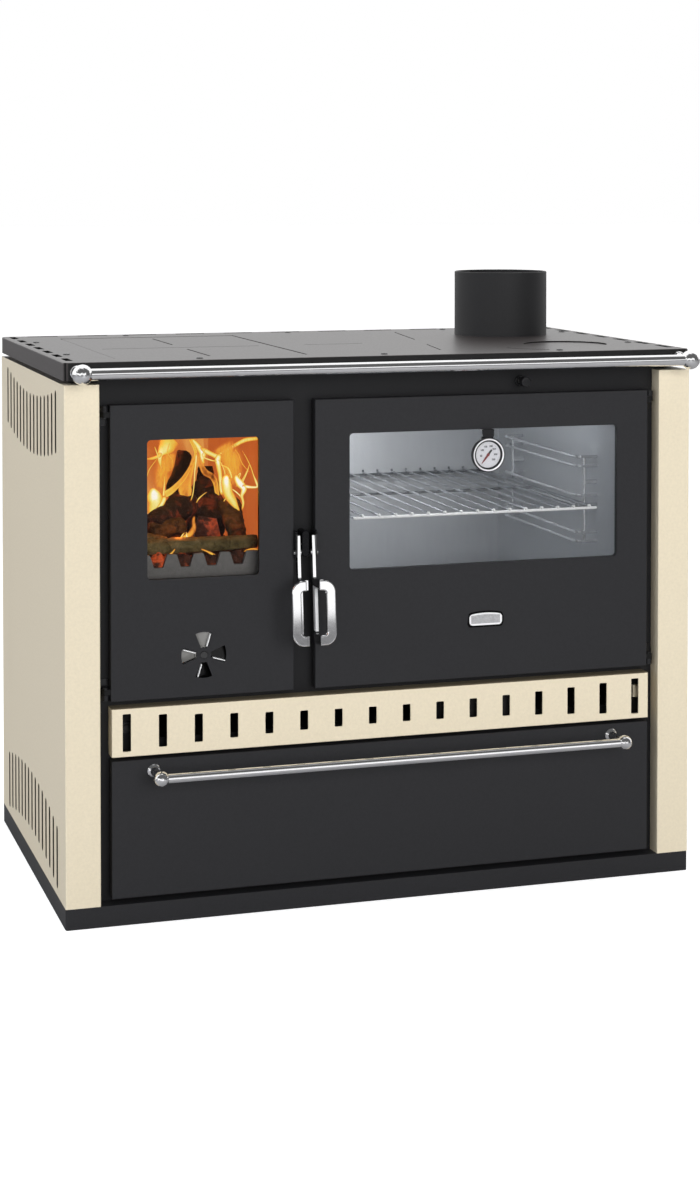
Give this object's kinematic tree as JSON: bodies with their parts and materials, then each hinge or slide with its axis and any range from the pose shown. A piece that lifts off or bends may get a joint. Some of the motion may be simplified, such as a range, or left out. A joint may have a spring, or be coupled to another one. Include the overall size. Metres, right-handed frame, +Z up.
{
  "type": "wood cookstove",
  "caption": "Wood-fired range cooker with glazed firebox and oven doors, plate worktop with flue collar, vent strip, firewood drawer and front rail.",
  "frame": {"origin": "centre of the plinth's underside, on the floor", "axes": "+X to the right seen from the front, -Y to the front where the doors are, +Z up"},
  "size_m": [1, 0.6695, 0.944],
  "materials": {
    "cream": "fine-textured powder coat",
    "anthracite": "fine-textured satin powder coat",
    "frame_black": "satin stove paint",
    "back_steel": "galvanised sheet",
    "inner_steel": "bare heat-dulled steel",
    "oven_steel": "grey vitreous enamel",
    "worktop_plate": "ground and waxed plate",
    "collar_black": "matt stove paint",
    "firebrick": "pressed firebrick",
    "cast_grate": "rough cast, ash-greyed",
    "rope_seal": "woven glass rope",
    "rack_wire": "chromed wire",
    "chrome": "polished chrome",
    "zinc": "zinc plated",
    "black_metal": "gloss black",
    "glass": "ceramic stove glass",
    "disc_steel": "polished steel",
    "plate_steel": "bare polished plate",
    "gauge_case": "dark bezel",
    "dial_white": "printed white dial",
    "lens_glass": "flat clear lens",
    "needle_red": "painted pointer"
  },
  "bodies": {
    "root": {"plinth": "anthracite", "side_panel_left": "cream", "side_panel_right": "cream", "back_panel": "back_steel", "front_frame": "frame_black", "worktop": "worktop_plate", "hob_plate": "worktop_plate", "flue_collar": "collar_black", "body_casing": "inner_steel", "firebrick_left": "firebrick", "firebrick_right": "firebrick", "firebrick_back": "firebrick", "firebox_partition": "inner_steel", "grate_bed": "inner_steel", "fire_grate": "cast_grate", "log_guard": "cast_grate", "door_rope_seals": "rope_seal", "oven_box": "oven_steel", "oven_rack_guides": "rack_wire", "flue_partition": "inner_steel", "damper_bush": "black_metal", "vent_strip": "cream", "vent_strip_brackets": "cream", "soot_hatch": "inner_steel", "drawer_runners": "back_steel", "towel_rail_tube": "chrome", "towel_rail_brackets": "chrome", "casing_screws": "zinc", "hinge_brackets": "black_metal", "hinge_pins": "zinc", "door_catch": "black_metal"},
    "firebox_door": {"firebox_door_panel": "anthracite", "firebox_door_glass": "glass", "firebox_glass_clips": "zinc", "firebox_handle_bracket": "black_metal", "firebox_handle_pin": "chrome", "rosette_rivet": "disc_steel"},
    "firebox_lever": {"firebox_handle": "chrome"},
    "air_rosette": {"air_rosette": "disc_steel"},
    "oven_door": {"oven_door_panel": "anthracite", "oven_door_glass": "glass", "oven_glass_clips": "zinc", "nameplate_blank": "plate_steel", "oven_handle_bracket": "black_metal", "oven_handle_pin": "chrome", "thermometer_bracket": "black_metal", "thermometer_case": "gauge_case", "thermometer_dial": "dial_white", "thermometer_lens": "lens_glass"},
    "oven_lever": {"oven_handle": "chrome"},
    "thermometer_needle": {"thermometer_needle": "needle_red"},
    "drawer": {"drawer_front": "anthracite", "drawer_box": "back_steel", "drawer_handle_tube": "chrome", "drawer_handle_brackets": "chrome"},
    "ash_pan": {"ash_pan": "back_steel"},
    "oven_rack": {"oven_rack": "rack_wire"},
    "damper": {"damper_rod": "zinc", "damper_knob": "black_metal", "damper_plate": "inner_steel"}
  },
  "joints": [
    {"name": "firebox_door_hinge", "type": "hinge", "parent": "root", "child": "firebox_door", "pos_m": [-0.43725, -0.289, 0.55], "axis": [0, 0, -1], "range_deg": [0, 95]},
    {"name": "oven_door_hinge", "type": "hinge", "parent": "root", "child": "oven_door", "pos_m": [0.43725, -0.289, 0.55], "axis": [0, 0, 1], "range_deg": [0, 95]},
    {"name": "firebox_lever_pivot", "type": "hinge", "parent": "firebox_door", "child": "firebox_lever", "pos_m": [-0.1452, -0.3015, 0.54], "axis": [-1, 0, 0], "range_deg": [0, 30]},
    {"name": "oven_lever_pivot", "type": "hinge", "parent": "oven_door", "child": "oven_lever", "pos_m": [-0.1223, -0.3015, 0.54], "axis": [-1, 0, 0], "range_deg": [0, 30]},
    {"name": "rosette_turn", "type": "hinge", "parent": "firebox_door", "child": "air_rosette", "pos_m": [-0.2901, -0.2905, 0.3928], "axis": [0, -1, 0], "range_deg": [0, 34]},
    {"name": "needle_turn", "type": "hinge", "parent": "oven_door", "child": "thermometer_needle", "pos_m": [0.1577, -0.3079, 0.6776], "axis": [0, 1, 0], "range_deg": [0, 232]},
    {"name": "drawer_slide", "type": "slide", "parent": "root", "child": "drawer", "axis": [0, -1, 0], "range_m": [0, 0.4]},
    {"name": "ash_pan_slide", "type": "slide", "parent": "root", "child": "ash_pan", "axis": [0, -1, 0], "range_m": [0, 0.015]},
    {"name": "oven_rack_slide", "type": "slide", "parent": "root", "child": "oven_rack", "axis": [0, -1, 0], "range_m": [0, 0.015]},
    {"name": "damper_slide", "type": "slide", "parent": "root", "child": "damper", "axis": [0, -1, 0], "range_m": [0, 0.06]}
  ]
}
